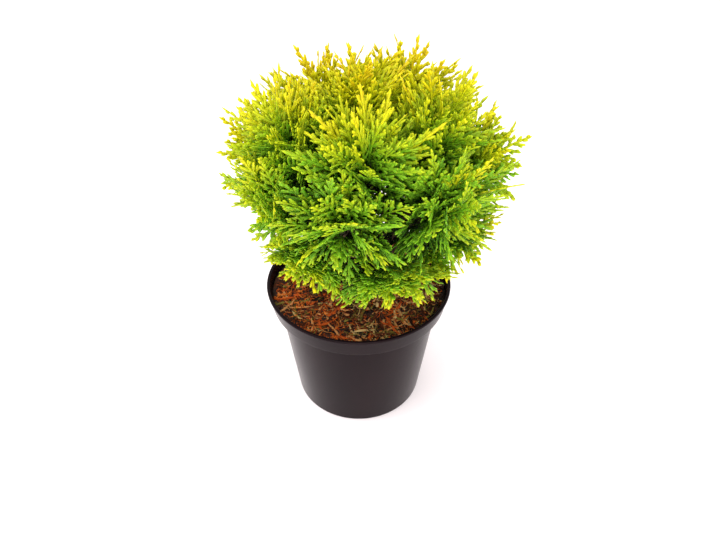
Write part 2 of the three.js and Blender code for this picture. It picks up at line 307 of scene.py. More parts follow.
@dataclass(frozen=True)
class FibrousBark(Finish):
    """Thin bark that comes away in upright fibres, its browns darkened as painted shade, since it shows
    deep inside the crown.
    """

    roughness: float = 0.88
    fibre_scale: float = 90.0
    fibre_stretch: tuple[float, float, float] = (5.0, 5.0, 0.8)
    fibre_depth: float = 0.8
    fibre_strength: float = 0.7
    # painted shade: the bark's browns are darkened to the shade deep in the crown
    stops: Stops = ((0.3, (30, 22, 12)), (0.5, (62, 46, 26)), (0.72, (98, 76, 48)))

    def make(self) -> bpy.types.Material:
        """Returns the finish as a new material."""
        material, _ = self.start("fibrous_bark", self.roughness)
        fibres = self.pattern(material, self.fibre_scale, self.fibre_stretch)
        self.colour(material, fibres, self.stops)
        self.relief(material, fibres, self.fibre_depth, self.fibre_strength)
        return material


@dataclass(frozen=True)
class GreenTwig(Finish):
    """Young twigs, green going brown."""

    roughness: float = 0.7
    patch_scale: float = 140.0
    stops: Stops = ((0.4, (30, 46, 12)), (0.62, (70, 58, 26)))

    def make(self) -> bpy.types.Material:
        """Returns the finish as a new material."""
        material, _ = self.start("green_twig", self.roughness)
        self.colour(material, self.pattern(material, self.patch_scale), self.stops)
        return material


@dataclass(frozen=True)
class MoistPeat(Finish):
    """Moist peat with red-brown patches, under the loose bits."""

    roughness: float = 0.9
    patch_scale: float = 60.0
    stops: Stops = ((0.36, (24, 12, 6)), (0.55, (58, 28, 12)), (0.72, (110, 50, 18)))
    crumb_scale: float = 900.0
    crumb_depth: float = 1.2
    crumb_strength: float = 0.8

    def make(self) -> bpy.types.Material:
        """Returns the finish as a new material."""
        material, _ = self.start("moist_peat", self.roughness)
        self.colour(material, self.pattern(material, self.patch_scale), self.stops)
        crumbs = self.pattern(material, self.crumb_scale)
        self.relief(material, crumbs, self.crumb_depth, self.crumb_strength)
        return material


@dataclass(frozen=True)
class PaleFloor(Finish):
    """The plain pale floor."""

    tone: tuple[int, int, int] = (253, 244, 245)
    roughness: float = 0.9
    shine: float = 0.1

    def make(self) -> bpy.types.Material:
        """Returns the finish as a new material."""
        material, shader = self.start("pale_floor", self.roughness, self.shine)
        shader.inputs["Base Color"].default_value = linear(*self.tone)
        return material


class Gathered:
    """Shapes gathered for one mesh, each face with the number of its material."""

    def __init__(self) -> None:
        """Starts with no shapes."""
        self.points: list[np.ndarray] = []
        self.faces: list[np.ndarray] = []
        self.numbers: list[np.ndarray] = []
        self.count = 0

    def add(self, points: np.ndarray, faces: np.ndarray, numbers: np.ndarray | int = 0) -> None:
        """Adds one shape.

        Args:
            points: its points, three numbers each.
            faces: its triangles, three point numbers each.
            numbers: the material's number, for all faces or for each.
        """
        self.points.append(points)
        self.faces.append(faces + self.count)
        self.numbers.append(np.broadcast_to(numbers, len(faces)))
        self.count += len(points)

    def piece(self, name: str, materials: list[bpy.types.Material], slot: str) -> bpy.types.Object:
        """Makes the shapes into one smooth piece that rides with the plant.

        Args:
            name: the piece's name.
            materials: its materials, in the order of their numbers.
            slot: the record's material slot meant for the piece; not used.

        Returns:
            The piece.
        """
        points = np.concatenate(self.points) * MM
        faces = np.concatenate(self.faces).astype(np.int32)
        mesh = bpy.data.meshes.new(name)
        mesh.vertices.add(len(points))
        mesh.vertices.foreach_set("co", points.astype(np.float32).ravel())
        mesh.loops.add(faces.size)
        mesh.loops.foreach_set("vertex_index", faces.ravel())
        mesh.polygons.add(len(faces))
        mesh.polygons.foreach_set("loop_start", np.arange(0, faces.size, 3, dtype=np.int32))
        mesh.polygons.foreach_set("material_index", np.concatenate(self.numbers).astype(np.int32))
        mesh.update(calc_edges=True)
        mesh.shade_smooth()
        for material in materials:
            mesh.materials.append(material)
        piece = bpy.data.objects.new(name, mesh)
        bpy.context.scene.collection.objects.link(piece)
        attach(piece, BODY)
        LOG.info("%s: %d triangles", name, len(faces))
        return piece


def tube(line: np.ndarray, radii: np.ndarray, sides: int) -> tuple[np.ndarray, np.ndarray]:
    """A round limb with closed ends.

    Args:
        line: the points of its middle line.
        radii: its radius at each point, or at each side of each point.
        sides: how many sides it has.

    Returns:
        Its points and its triangles.
    """
    steps = len(line)
    tangents = unit(np.gradient(line, axis=0))
    guide = np.array([1.0, 0.3, 0.0]) if abs(tangents[0][2]) > 0.7 else UP
    out = unit(np.cross(tangents, np.broadcast_to(guide, tangents.shape)))
    over = np.cross(tangents, out)
    turns = 2 * math.pi * np.arange(sides) / sides
    reach = np.broadcast_to(np.asarray(radii, float).reshape(steps, -1), (steps, sides))
    rings = line[:, None, :] + reach[:, :, None] * (
        out[:, None, :] * np.cos(turns)[None, :, None] + over[:, None, :] * np.sin(turns)[None, :, None]
    )
    points = np.concatenate([rings.reshape(-1, 3), line[:1], line[-1:]])
    return points, wound(steps, sides)


def wound(steps: int, sides: int) -> np.ndarray:
    """The triangles of rings of points that end in one point at either end.

    Args:
        steps: how many rings there are.
        sides: how many points each ring has. The two end points come after the rings.

    Returns:
        The triangles.
    """
    low = np.arange(steps - 1)[:, None] * sides
    here = np.arange(sides)[None, :]
    there = (here + 1) % sides
    first = np.stack([low + here, low + there, low + there + sides], -1)
    second = np.stack([low + here, low + there + sides, low + here + sides], -1)
    foot = steps * sides
    caps = [
        np.stack([np.full(sides, foot), there[0], here[0]], -1),
        np.stack([np.full(sides, foot + 1), foot - sides + here[0], foot - sides + there[0]], -1),
    ]
    return np.concatenate([first.reshape(-1, 3), second.reshape(-1, 3), *caps])


def turned(profile: np.ndarray, steps: int) -> tuple[np.ndarray, np.ndarray]:
    """A shape turned about Z.

    Args:
        profile: pairs of radius and height, from the axis underneath round to the axis on top.
        steps: how many steps the turn has.

    Returns:
        Its points and its triangles.
    """
    turns = 2 * math.pi * np.arange(steps) / steps
    inner = profile[1:-1]
    rings = np.empty((len(inner), steps, 3))
    rings[:, :, 0] = inner[:, None, 0] * np.cos(turns)
    rings[:, :, 1] = inner[:, None, 0] * np.sin(turns)
    rings[:, :, 2] = inner[:, None, 1]
    ends = np.array([[0, 0, profile[0][1]], [0, 0, profile[-1][1]]])
    return np.concatenate([rings.reshape(-1, 3), ends]), wound(len(inner), steps)


def curve(start: np.ndarray, middle: np.ndarray, end: np.ndarray, shares: np.ndarray) -> np.ndarray:
    """Points of an arc that three points steer.

    Args:
        start: where it starts.
        middle: the point that bends it.
        end: where it ends.
        shares: how far along each point lies, from 0 to 1.

    Returns:
        The points.
    """
    share = np.asarray(shares, float)[..., None]
    return (1 - share) ** 2 * start + 2 * share * (1 - share) * middle + share**2 * end


def rounded(corners: list[tuple[float, float, float]], steps: int = 5) -> np.ndarray:
    """Rounds the corners of a profile.

    Args:
        corners: radius, height and how far the rounding reaches from each corner.
        steps: how many points a rounded corner has.

    Returns:
        The profile's points.
    """
    flat = np.array([corner[:2] for corner in corners])
    points = [flat[0]]
    for before, here, after, reach in zip(flat, flat[1:], flat[2:], [corner[2] for corner in corners[1:]]):
        start = here + unit(before - here) * reach
        end = here + unit(after - here) * reach
        points.extend(curve(start, here, end, np.linspace(0, 1, steps)))
    points.append(flat[-1])
    return np.array(points)


@dataclass
class NurseryPot:
    """The thin-walled round pot."""

    height: float = 130.0
    rim_radius: float = 85.0
    lip_width: float = 2.6
    lip_height: float = 2.2
    collar_height: float = 19.0
    collar_foot_radius: float = 81.4
    body_top_radius: float = 75.0
    foot_radius: float = 63.0
    wall: float = 1.4
    floor: float = 2.2
    drain_holes: int = 6
    drain_radius: float = 4.0
    drain_circle: float = 40.0
    drain_sides: int = 24
    drill_past: float = 5.0
    steps: int = 144
    finish: Finish = MouldedPlastic()

    def profile(self) -> np.ndarray:
        """Returns the wall's profile: up the outside, over the lip and down the inside."""
        shoulder = self.height - self.collar_height
        lip = self.height - self.lip_height
        inner_lip = self.rim_radius - self.lip_width
        return rounded(
            [
                (0, 0, 0),
                (self.foot_radius, 0, 1.5),
                (self.body_top_radius, shoulder, 0.8),
                (self.collar_foot_radius, shoulder + self.wall / 2, 1.0),
                (self.rim_radius - self.wall / 2, lip - 0.3, 0.3),
                (self.rim_radius, lip, 0.4),
                (self.rim_radius, self.height, 1.1),
                (inner_lip, self.height, 0.9),
                (inner_lip - self.wall / 2, lip, 0.6),
                (self.collar_foot_radius - self.wall, shoulder + 2 * self.wall, 1.2),
                (self.body_top_radius - self.wall, shoulder, 1.2),
                (self.foot_radius - self.wall, self.floor, 3.0),
                (0, self.floor, 0),
            ]
        )

    def drills(self) -> bpy.types.Object:
        """Returns the drain holes as one solid that the floor is cut with."""
        holes = Gathered()
        reach = np.array([[0, 0, -self.drill_past], [0, 0, 3 * self.floor]])
        for k in range(self.drain_holes):
            turn = 2 * math.pi * (k + 0.5) / self.drain_holes
            middle = self.drain_circle * np.array([math.cos(turn), math.sin(turn), 0.0])
            holes.add(*tube(middle + reach, np.full(2, self.drain_radius), self.drain_sides))
        return holes.piece("drain_holes", [], "pot_plastic")

    def build(self) -> bpy.types.Object:
        """Builds the pot in place of the CAD pot.

        Returns:
            The pot.
        """
        shape = Gathered()
        shape.add(*turned(self.profile(), self.steps))
        pot = shape.piece("nursery_pot", [self.finish.make()], "pot_plastic")
        drills = self.drills()
        cut = pot.modifiers.new("drain", "BOOLEAN")
        cut.object = drills
        cut.operation = "DIFFERENCE"
        cut.solver = "EXACT"
        bake(pot)
        bpy.data.objects.remove(drills)
        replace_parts(pot, "pot")
        return pot


def bake(piece: bpy.types.Object) -> None:
    """Makes the modifiers of a piece part of its mesh.

    Args:
        piece: the piece.
    """
    shown = piece.evaluated_get(bpy.context.evaluated_depsgraph_get())
    mesh = bpy.data.meshes.new_from_object(shown)
    piece.modifiers.clear()
    piece.data = mesh


@dataclass(frozen=True)
class LooseBits:
    """One kind of loose bit on the substrate.

    It says how many there are, how far they stay from the wall, and how often each tint of Litter
    comes up in the red patches and in the drab ones.
    """

    count: int
    clear: float
    red: tuple[float, ...]
    drab: tuple[float, ...]


@dataclass(frozen=True)
class Strands(LooseBits):
    """Thin bits that lie along the surface.

    A few are longer than the usual range of lengths, by up to the number given. Bow is how far one
    bends sideways, as a share of its length, and lift how far its ends rise. The profile is the
    share of the half width at each point of the middle line, and the section that at each side.
    """

    length: tuple[float, float]
    longer: float
    bow: float
    lift: float
    half_width: tuple[float, float]
    profile: tuple[float, ...]
    section: tuple[float, ...]


@dataclass
class Substrate:
    """The bark and peat that fill the pot, with loose bits on top."""

    pot: NurseryPot
    level: float = 119.0
    dome: float = 1.6
    swell: float = 1.3
    clumps: float = 1.5
    clump_size: float = 7.0
    trunk_patch: float = 12.0
    gap: float = 0.3
    rings: int = 56
    steps: int = 168
    seed: int = 7
    red_patch: float = 22.0
    redder_left: float = 0.004
    stray: float = 0.25
    crumb_size: tuple[float, float] = (0.5, 1.5)
    chip_size: tuple[float, float] = (1.8, 3.4)
    chip_width: float = 0.55
    chip_tip: float = 0.35
    crumbs: LooseBits = LooseBits(1500, 2.5, (6, 4, 6, 2.5, 0.6, 0, 0), (9, 5, 1, 0.3, 0.5, 0.3, 0.8))
    chips: LooseBits = LooseBits(110, 5, (0, 1, 2, 2, 3, 0.5, 0), (0, 3, 1, 0.5, 2, 1.5, 0.5))
    fibres: Strands = Strands(
        count=2700, clear=4, red=(2, 3, 6, 3.5, 1, 0.4, 0), drab=(3, 6, 2, 0.6, 1.6, 1.5, 2.4),
        length=(3, 8), longer=7, bow=0.6, lift=2.2, half_width=(0.25, 0.6),
        profile=(0.5, 1, 1.1, 0.9, 0.4), section=(1, 1, 1),
    )
    straws: Strands = Strands(
        count=290, clear=6, red=(0, 1, 2, 0.5, 3, 2, 0.6), drab=(0, 1.5, 0.4, 0, 2, 3, 3),
        length=(7, 16), longer=18, bow=0.08, lift=2.6, half_width=(0.8, 1.9),
        profile=(0.5, 1, 1, 0.8, 0.3), section=(1, 0.45, 1, 0.45),
    )
    finish: Finish = MoistPeat()

    @property
    def edge(self) -> float:
        """The radius of the substrate's top, just clear of the pot's wall."""
        return self.inside(self.level) - self.gap

    def inside(self, height: float) -> float:
        """Works out how far the pot's inside reaches from its axis, within its collar.

        Args:
            height: above the pot's underside.

        Returns:
            The radius there.
        """
        pot = self.pot
        low = pot.height - pot.collar_height + 2 * pot.wall
        high = pot.height - pot.lip_height
        top = pot.rim_radius - pot.lip_width - pot.wall / 2
        return mix(pot.collar_foot_radius - pot.wall, top, (height - low) / (high - low))

    def surface(self, x: float, y: float) -> float:
        """Works out how high the top lies at a place, swelling as the source's does.

        Args:
            x: the place in millimetres.
            y: see x.

        Returns:
            The height above the floor.
        """
        radius = math.hypot(x, y)
        fade = smooth_step(radius, self.trunk_patch, 3 * self.trunk_patch)
        rim = 1 - smooth_step(radius, 0.85 * self.pot.body_top_radius, self.pot.body_top_radius)
        swell = math.sin(x / 8 + 1) * math.cos(y / 10) + 0.6 * math.sin((x + y) / 6)
        clump = noise.fractal(Vector((x / self.clump_size, y / self.clump_size, 0.0)), 0.8, 2.1, 5)
        low = self.dome * (1 - smooth_step(radius, 0.3 * self.edge, self.edge))
        return self.level + low + self.swell * fade * rim * swell + self.clumps * fade * clump

    def make_bed(self) -> bpy.types.Object:
        """Builds the peat with its uneven top.

        Returns:
            The bed.
        """
        pot = self.pot
        shoulder = pot.height - pot.collar_height
        top = [(self.edge * (1 - ring / self.rings), self.level) for ring in range(self.rings)]
        profile = [
            (0, pot.floor + self.gap),
            (pot.foot_radius - pot.wall - 2, pot.floor + self.gap),
            (pot.foot_radius - pot.wall - self.gap, pot.floor + 4),
            (pot.body_top_radius - pot.wall - self.gap, shoulder),
            (self.inside(shoulder + 3 * pot.wall) - self.gap, shoulder + 3 * pot.wall),
            *top,
            (0, self.level),
        ]
        points, faces = turned(np.array(profile), self.steps)
        for point in points:
            if point[2] >= self.level:
                point[2] = self.surface(point[0], point[1])
        bed = Gathered()
        bed.add(points, faces)
        return bed.piece("substrate_bed", [self.finish.make()], "substrate")

    def spots(self, chance: random.Random, bits: LooseBits) -> list[np.ndarray]:
        """Deals out places on the top, off the trunk.

        Args:
            chance: the source of random numbers.
            bits: what lies there.

        Returns:
            The places.
        """
        places = []
        while len(places) < bits.count:
            radius = (self.edge - bits.clear) * math.sqrt(chance.random())
            turn = chance.uniform(0, 2 * math.pi)
            if radius < self.trunk_patch + bits.clear:
                continue
            x, y = radius * math.cos(turn), radius * math.sin(turn)
            places.append(np.array([x, y, self.surface(x, y)]))
        return places

    def tint(self, chance: random.Random, spot: np.ndarray, bits: LooseBits) -> int:
        """Picks a tint for a bit, redder in some patches and drabber in others.

        Args:
            chance: the source of random numbers.
            spot: where the bit lies.
            bits: what kind it is.

        Returns:
            The tint's number.
        """
        place = Vector((spot[0] / self.red_patch, spot[1] / self.red_patch, 3.7))
        redness = noise.noise(place) - self.redder_left * spot[0]
        weights = bits.red if redness + self.stray * chance.uniform(-1, 1) > 0 else bits.drab
        return chance.choices(range(len(Litter)), weights)[0]

    def scatter_crumbs(self, chance: random.Random) -> Gathered:
        """Scatters small lumps of peat and bark over the top.

        Args:
            chance: the source of random numbers.

        Returns:
            The lumps.
        """
        crumbs = Gathered()
        ring = [[math.cos(t), math.sin(t)] for t in np.arange(5) * 2 * math.pi / 5]
        for spot in self.spots(chance, self.crumbs):
            size = self.crumb_size[0] + self.crumb_size[1] * chance.random() ** 3
            lump = [[x * 0.9, y * 0.9, z] for z in (-0.45, 0.45) for x, y in ring]
            lump = np.array([*lump, [0, 0, -0.9], [0, 0, 0.9]])
            lump *= 1 + 0.3 * np.array([[chance.uniform(-1, 1) for _ in range(3)] for _ in lump])
            spin = chance.uniform(0, math.pi)
            cos, sin = math.cos(spin), math.sin(spin)
            turn = np.array([[cos, -sin, 0], [sin, cos, 0], [0, 0, 1]])
            lump = lump * np.array([size, size * chance.uniform(0.5, 1), size * 0.7]) @ turn
            shade = self.tint(chance, spot, self.crumbs)
            crumbs.add(lump + spot + UP * 0.25 * size, wound(2, 5), shade)
        return crumbs

    def strand(self, chance: random.Random, spot: np.ndarray, kind: Strands) -> np.ndarray:
        """Lays a thin bit along the surface.

        Args:
            chance: the source of random numbers.
            spot: the middle of the bit.
            kind: what kind it is.

        Returns:
            The points of its middle line.
        """
        length = chance.uniform(*kind.length) + kind.longer * chance.random() ** 4
        heading = chance.uniform(0, math.pi)
        bowed = chance.uniform(-kind.bow, kind.bow) * length
        rise = [chance.uniform(0, kind.lift), chance.uniform(0, kind.lift)]
        points = []
        for share in np.linspace(-0.5, 0.5, len(kind.profile)):
            along, aside = share * length, bowed * (1 - 4 * share * share)
            x = spot[0] + along * math.cos(heading) - aside * math.sin(heading)
            y = spot[1] + along * math.sin(heading) + aside * math.cos(heading)
            radius = math.hypot(x, y)
            pull = min(1.0, (self.edge - 1) / radius)
            x, y = x * pull, y * pull
            end = rise[0] if share < 0 else rise[1]
            points.append([x, y, self.surface(x, y) + 0.3 + end * (2 * abs(share)) ** 2])
        return np.array(points)

    def scatter_strands(self, chance: random.Random, kind: Strands) -> Gathered:
        """Scatters one kind of thin bit over the top.

        Args:
            chance: the source of random numbers.
            kind: fibres or straws.

        Returns:
            The bits.
        """
        strands = Gathered()
        for spot in self.spots(chance, kind):
            line = self.strand(chance, spot, kind)
            radii = chance.uniform(*kind.half_width) * np.array(kind.profile)
            shade = self.tint(chance, spot, kind)
            strands.add(*tube(line, radii[:, None] * np.array(kind.section), len(kind.section)), shade)
        return strands

    def scatter_chips(self, chance: random.Random) -> Gathered:
        """Scatters flat six-sided chips of bark over the top.

        Args:
            chance: the source of random numbers.

        Returns:
            The chips.
        """
        chips = Gathered()
        for spot in self.spots(chance, self.chips):
            size = self.chip_size[0] + self.chip_size[1] * chance.random() ** 3
            turns = np.sort([chance.uniform(0, 2 * math.pi) for _ in range(6)]) * 0.4
            turns += np.arange(6) * 2 * math.pi / 6
            spread = size * np.array([chance.uniform(0.7, 1.1) for _ in range(6)])
            outline = np.stack(
                [spread * np.cos(turns), self.chip_width * spread * np.sin(turns), np.zeros(6)], -1
            )
            spin = chance.uniform(0, 2 * math.pi)
            tip = chance.uniform(-self.chip_tip, self.chip_tip)
            tipped = [turned_about(p, np.array([1.0, 0.0, 0.0]), tip) for p in outline]
            outline = np.array([turned_about(p, UP, spin) for p in tipped])
            thick = chance.uniform(0.4, 0.9)
            low = outline + spot + UP * 0.5
            high = outline * 0.92 + spot + UP * (0.5 + thick)
            middle = np.array([low.mean(0), high.mean(0)])
            shade = self.tint(chance, spot, self.chips)
            chips.add(np.concatenate([low, high, middle]), wound(2, 6), shade)
        return chips

    def build(self) -> None:
        """Builds the bed and its loose bits in place of the CAD substrate."""
        chance = random.Random(self.seed)
        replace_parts(self.make_bed(), "potting_soil")
        tints = [LitterFinish(tint).make() for tint in Litter]
        self.scatter_crumbs(chance).piece("substrate_crumbs", tints, "substrate")
        self.scatter_strands(chance, self.fibres).piece("substrate_fibres", tints, "substrate")
        self.scatter_chips(chance).piece("substrate_chips", tints, "substrate")
        self.scatter_strands(chance, self.straws).piece("substrate_needles", tints, "substrate")


@dataclass(frozen=True)
class Ring:
    """One ring of foliage masses round the crown, angles in degrees.

    Elevation and azimuth are those of its first mass, and bough_height is where its boughs leave the
    trunk. Reaches are the masses' shares of the crown's own reach. Rise and sweep say how far a mass
    spreads upwards and sideways. Its sprays stand on edge round it where flatness is 0 and lie level
    where it is 1, and upturn says how far their ends turn up.
    """

    name: str
    slot: str
    elevation: float
    azimuth: float
    bough_height: float
    reaches: tuple[float, ...]
    rise: float
    sweep: float
    twigs: int
    flatness: float
    upturn: float


RINGS = (
    Ring(
        name="leader", slot="leaf_gold", elevation=84, azimuth=200, bough_height=182,
        reaches=(1.0,), rise=18, sweep=20, twigs=16, flatness=0.0, upturn=0.05,
    ),
    Ring(
        name="upper", slot="leaf_gold", elevation=40, azimuth=0, bough_height=172,
        reaches=(0.97, 1.01, 1.02, 1.0, 1.0), rise=17, sweep=24, twigs=19, flatness=0.35,
        upturn=0.08,
    ),
    Ring(
        name="middle", slot="leaf_lime", elevation=3, azimuth=-12, bough_height=156,
        reaches=(0.94, 1.0, 0.98, 1.0, 1.0, 0.99, 0.9), rise=17, sweep=26, twigs=18, flatness=0.55,
        upturn=-0.05,
    ),
    Ring(
        name="lower", slot="leaf_green", elevation=-40, azimuth=15, bough_height=140,
        reaches=(1.0, 0.97, 0.92, 0.96, 0.82, 0.88), rise=20, sweep=30, twigs=15, flatness=0.85,
        upturn=-0.14,
    ),
)


@dataclass
class Trunk:
    """The short trunk, with its flare at the substrate and its slight lean."""

    foot: float = 120.9
    height: float = 65.7
    bend_height: float = 153.6
    lean: float = 4.0
    flare_radius: float = 10.5
    foot_radius: float = 7.4
    tip_radius: float = 4.9
    flare_share: float = 0.16
    fork_height: float = 165.0

    def at(self, heights: np.ndarray) -> np.ndarray:
        """Works out points of the middle line.

        Args:
            heights: how high each lies along it.

        Returns:
            The points.
        """
        start = np.array([0.0, 0.0, self.foot])
        middle = np.array([0.0, 0.0, self.bend_height])
        end = np.array([self.lean, 0.0, self.foot + self.height])
        return curve(start, middle, end, (np.asarray(heights, float) - self.foot) / self.height)

    def radius(self, share: np.ndarray) -> np.ndarray:
        """Returns the radius a share of the way up."""
        flare = np.maximum(0, 1 - share / self.flare_share) ** 2
        plain = mix(self.foot_radius, self.tip_radius, share)
        return plain + flare * (self.flare_radius - self.foot_radius)


@dataclass
class Crown:
    """The crown's outline: half an ellipsoid on top of a deeper half."""

    centre: tuple[float, float, float] = (7.0, 0.0, 257.0)
    half_width: float = 131.0
    half_depth: float = 124.0
    rise: float = 86.0
    drop: float = 135.0

    def distance(self, start: np.ndarray, ways: np.ndarray) -> np.ndarray:
        """Works out where rays meet the outline.

        Args:
            start: the point inside the crown that they leave from.
            ways: their unit directions.

        Returns:
            How far along each ray the outline lies.
        """
        low = self.exit(start, ways, self.drop)
        high = self.exit(start, ways, self.rise)
        return np.where(start[2] + ways[..., 2] * low > self.centre[2], high, low)

    def exit(self, start: np.ndarray, ways: np.ndarray, half_height: float) -> np.ndarray:
        """Works out where rays leave one ellipsoid.

        Args:
            start: the point that they leave from.
            ways: their unit directions.
            half_height: of the ellipsoid.

        Returns:
            The distances.
        """
        size = np.array([self.half_width, self.half_depth, half_height])
        begin = (start - np.array(self.centre)) / size
        way = ways / size
        a = (way * way).sum(-1)
        b = (way * begin).sum(-1)
        return (-b + np.sqrt(np.maximum(b * b - a * (begin @ begin - 1), 0))) / a


class SameRandom:
    """The source's own run of random numbers."""

    def __init__(self, seed: int) -> None:
        """Starts the run at a seed."""
        self.state = seed & 0xFFFFFFFF

    def next(self) -> float:
        """Returns the next number from 0 to 1."""
        full = 0xFFFFFFFF
        self.state = (self.state + 0x6D2B79F5) & full
        t = ((self.state ^ (self.state >> 15)) * (1 | self.state)) & full
        t = ((t + ((t ^ (t >> 7)) * (61 | t) & full)) ^ t) & full
        return (t ^ (t >> 14)) / 4294967296


def towards(azimuth: float, elevation: float) -> np.ndarray:
    """Works out a direction.

    Args:
        azimuth: in degrees from the front.
        elevation: in degrees above the level.

    Returns:
        The unit direction.
    """
    flat = math.cos(math.radians(elevation))
    turn = math.radians(azimuth)
    return np.array([math.sin(turn) * flat, -math.cos(turn) * flat, math.sin(math.radians(elevation))])


@dataclass
class Limbs:
    """The plan of the plant: its trunk, and a bough and a stem for each mass of foliage."""

    trunk: Trunk = field(default_factory=Trunk)
    crown: Crown = field(default_factory=Crown)
    bough_share: float = 0.3
    stem_share: float = 0.64
    tilt: float = 4.0
    outward: float = 0.75
    rise: float = 0.35
    stagger: float = 2.5
    gap: float = 0.3

    def plans(self) -> list["MassPlan"]:
        """Works out where every mass grows.

        Returns:
            The plans, in the source's order.
        """
        centre = np.array(self.crown.centre)
        fork = self.trunk.at(self.trunk.fork_height)
        plans = []
        for ring in RINGS:
            for k, reach in enumerate(ring.reaches):
                azimuth = ring.azimuth + 360 * k / len(ring.reaches)
                lift = self.tilt * math.sin(math.radians(azimuth))
                outward = towards(azimuth, ring.elevation + lift)
                tip = centre + outward * self.crown.distance(centre, outward) * reach
                root = self.trunk.at(ring.bough_height + self.stagger * (1 if k % 2 else -1))
                stem = mix(fork, tip, self.bough_share), mix(fork, tip, self.stem_share)
                plans.append(MassPlan(f"{ring.name}_{k + 1}", ring, reach, fork, root, *stem, self))
        for plan in plans:
            others = [other.direction - plan.direction for other in plans if other is not plan]
            plan.walls = unit(np.array(others))
        return plans


@dataclass
class MassPlan:
    """Where one mass of foliage grows and the space that it keeps to."""

    name: str
    ring: Ring
    reach: float
    fork: np.ndarray
    bough_root: np.ndarray
    stem_root: np.ndarray
    stem_tip: np.ndarray
    limbs: Limbs
    walls: np.ndarray | None = None

    @property
    def direction(self) -> np.ndarray:
        """The mass's main direction from the fork."""
        return unit(self.stem_tip - self.fork)

    @property
    def across(self) -> np.ndarray:
        """The level direction across the mass."""
        return unit(np.cross(self.direction, UP))

    @property
    def over(self) -> np.ndarray:
        """The direction over the mass."""
        return np.cross(self.across, self.direction)

    def way(self, spread: float, turn: float) -> np.ndarray:
        """Works out a direction in the mass's cone.

        Args:
            spread: how far it lies from the main direction, 1 being the cone's edge.
            turn: which way round, in radians.

        Returns:
            The unit direction from the fork.
        """
        sweep = math.tan(math.radians(self.ring.sweep)) * spread * math.cos(turn)
        rise = math.tan(math.radians(self.ring.rise)) * spread * math.sin(turn)
        return unit(self.direction + self.across * sweep + self.over * rise)

    def bough(self, shares: np.ndarray) -> np.ndarray:
        """Works out points of the bough, which spreads outwards first and rises later.

        Args:
            shares: how far along each lies, from 0 to 1.

        Returns:
            The points.
        """
        middle = mix(self.bough_root, self.stem_root, self.limbs.outward)
        middle[2] = mix(self.bough_root[2], self.stem_root[2], self.limbs.rise)
        return curve(self.bough_root, middle, self.stem_root, shares)

    def stem(self, shares: np.ndarray) -> np.ndarray:
        """Works out points of the stem, which goes on from the bough's tip.

        Args:
            shares: how far along each lies, from 0 to 1.

        Returns:
            The points.
        """
        end = self.bough(np.array([0.999, 1.0]))
        along = unit(end[1] - end[0])
        start = self.stem_root + along * self.limbs.gap
        middle = start + along * np.linalg.norm(self.stem_tip - self.stem_root) / 2
        return curve(start, middle, self.stem_tip, shares)

    def outline(self, ways: np.ndarray) -> np.ndarray:
        """Returns how far the mass may reach from the fork along these directions."""
        return self.limbs.crown.distance(self.fork, ways) * self.reach

    def share(self, points: np.ndarray) -> np.ndarray:
        """Returns how far out points lie, from 0 at the fork to 1 at the outline."""
        away = points - self.fork
        return np.linalg.norm(away, axis=-1) / self.outline(unit(away))

    def holds(self, points: np.ndarray, rule: "SprayRule", weave: float) -> np.ndarray:
        """Tells which points lie in the mass's space.

        Args:
            points: the points.
            rule: how clear of the pot they stay.
            weave: how far they may weave into their neighbours.

        Returns:
            True for each point inside.
        """
        away = points - self.fork
        inside = (away @ self.walls.T < weave).all(-1)
        over_pot = np.hypot(points[..., 0], points[..., 1]) > rule.pot_clear_radius
        lowest = np.where(over_pot, rule.pot_clear_height, rule.soil_clear_height)
        return inside & (points[..., 2] > lowest) & (self.share(points) < 1.0)


